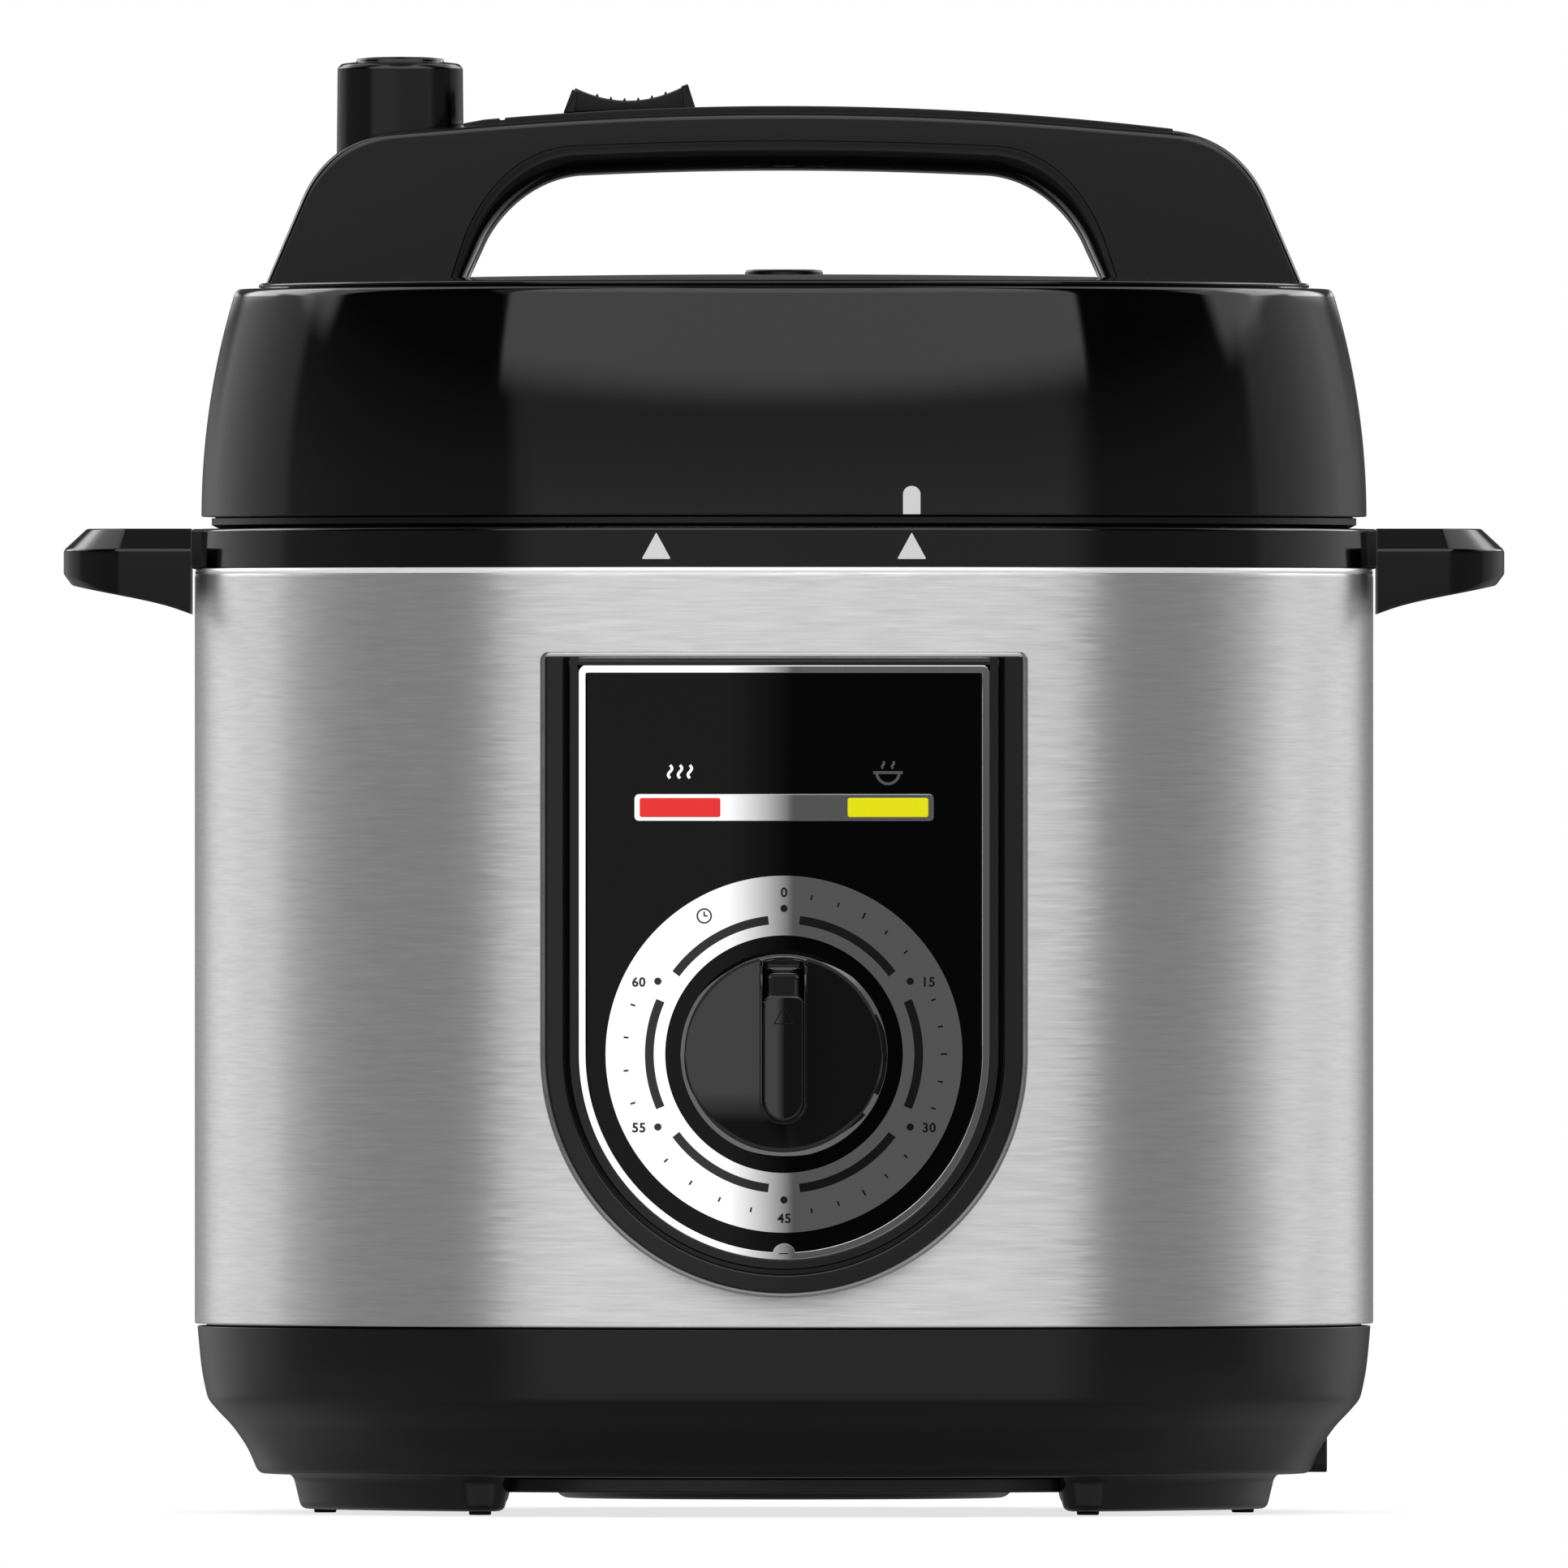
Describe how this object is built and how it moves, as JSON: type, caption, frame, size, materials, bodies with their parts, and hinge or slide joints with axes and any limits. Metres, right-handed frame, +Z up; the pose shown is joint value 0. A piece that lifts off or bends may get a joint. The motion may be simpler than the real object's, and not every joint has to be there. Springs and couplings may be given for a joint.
{
  "type": "electric pressure cooker",
  "caption": "Round electric pressure cooker with a brushed steel body, a domed bayonet lid under an arch handle, a steam valve, side grips and a timer dial.",
  "frame": {"origin": "on the table, on the axis of the round body", "axes": "+Z up, -Y to the front where the timer dial is, +X to the right seen from the front"},
  "size_m": [0.3238, 0.3142, 0.3271],
  "materials": {
    "base_black": "fine satin moulding",
    "satin_black": "satin",
    "gloss_black": "gloss",
    "lid_black": "high gloss",
    "panel_black": "high gloss",
    "knob_black": "soft gloss",
    "rubber": "matte",
    "zinc_steel": "zinc plated",
    "brass": "nickel-dulled brass",
    "brushed_steel": "brushed round the body",
    "pressed_steel": "pressed and polished",
    "pot_steel": "spun and polished",
    "cast_aluminium": "as cast, turned face",
    "switch_plastic": "natural nylon",
    "silver_foil": "mirror silver foil",
    "dial_foil": "mirror silver foil with a printed scale",
    "red_lens": "tinted lens",
    "yellow_lens": "tinted lens",
    "board": "circuit board",
    "smoked_plastic": "smoked clear plastic",
    "silicone": "natural silicone"
  },
  "bodies": {
    "housing": {"base_housing": "base_black", "bottom_cover": "base_black", "foot_pad_back_right": "rubber", "foot_pad_back_left": "rubber", "foot_pad_front_left": "rubber", "foot_pad_front_right": "rubber", "bottom_screw_1": "zinc_steel", "bottom_screw_2": "zinc_steel", "bottom_screw_3": "zinc_steel", "power_inlet": "satin_black", "inlet_pin_line": "brass", "inlet_pin_neutral": "brass", "inlet_pin_earth": "brass", "outer_shell": "brushed_steel", "upper_ring": "gloss_black", "side_handle_right": "gloss_black", "side_handle_left": "gloss_black", "outer_pot": "pressed_steel", "heating_plate": "cast_aluminium", "plate_bracket_1": "zinc_steel", "plate_bracket_2": "zinc_steel", "plate_bracket_3": "zinc_steel", "sensor_holder": "zinc_steel", "sensor_spring": "zinc_steel", "pressure_switch": "switch_plastic", "control_bezel": "satin_black", "control_panel": "panel_black", "panel_trim": "silver_foil", "dial_ring": "dial_foil", "indicator_frame": "silver_foil", "heat_lens": "red_lens", "warm_lens": "yellow_lens", "lamp_board": "board", "timer_unit": "switch_plastic", "cup_bracket": "satin_black"},
    "sensor": {"sensor_plunger": "cast_aluminium"},
    "knob": {"timer_knob": "knob_black", "timer_shaft": "zinc_steel"},
    "pot": {"inner_pot": "pot_steel"},
    "cup": {"condensation_cup": "smoked_plastic"},
    "lid_guide": {"sealing_ring": "silicone"},
    "lid": {"seal_rack": "pressed_steel", "inner_lid": "pressed_steel", "lid_screw_1": "zinc_steel", "lid_screw_2": "zinc_steel", "lid_screw_3": "zinc_steel", "lid_screw_4": "zinc_steel", "lid_liner": "satin_black", "lid_shell": "lid_black", "lid_top_cover": "lid_black", "float_guard": "satin_black", "handle_shell": "satin_black", "handle_grip": "satin_black", "handle_top_plate": "satin_black", "exhaust_pipe": "zinc_steel", "strainer": "pressed_steel"},
    "valve": {"steam_valve": "knob_black"},
    "slider": {"vent_slider": "satin_black"},
    "float": {"float_pin": "zinc_steel", "float_seal": "silicone"}
  },
  "joints": [
    {"name": "lid_lift", "type": "slide", "parent": "housing", "child": "lid_guide", "axis": [0, 0, 1], "range_m": [0, 0.25]},
    {"name": "lid_turn", "type": "hinge", "parent": "lid_guide", "child": "lid", "pos_m": [0, 0, 0.23], "axis": [0, 0, 1], "range_deg": [-25, 0]},
    {"name": "pot_lift", "type": "slide", "parent": "housing", "child": "pot", "axis": [0, 0, 1], "range_m": [0, 0.165]},
    {"name": "timer_turn", "type": "hinge", "parent": "housing", "child": "knob", "pos_m": [0, -0.14, 0.1033], "axis": [0, 1, 0], "range_deg": [0, 300]},
    {"name": "vent_slide", "type": "slide", "parent": "lid", "child": "slider", "axis": [-1, 0, 0], "range_m": [0, 0.006]},
    {"name": "valve_lift", "type": "slide", "parent": "lid", "child": "valve", "axis": [0, 0, 1], "range_m": [0, 0.003]},
    {"name": "float_rise", "type": "slide", "parent": "lid", "child": "float", "axis": [0, 0, 1], "range_m": [0, 0.004]},
    {"name": "cup_pull", "type": "slide", "parent": "housing", "child": "cup", "axis": [0, 1, 0], "range_m": [0, 0.05]},
    {"name": "sensor_press", "type": "slide", "parent": "housing", "child": "sensor", "axis": [0, 0, -1], "range_m": [0, 0.002], "stiffness_N_per_m": 150, "springref_m": -0.004, "deforming": ["sensor_spring"]}
  ],
  "couplings": [
    {"joint": "pot_lift", "follows": "lid_lift", "ratio": 0.64},
    {"joint": "valve_lift", "follows": "vent_slide", "ratio": 0.5}
  ]
}
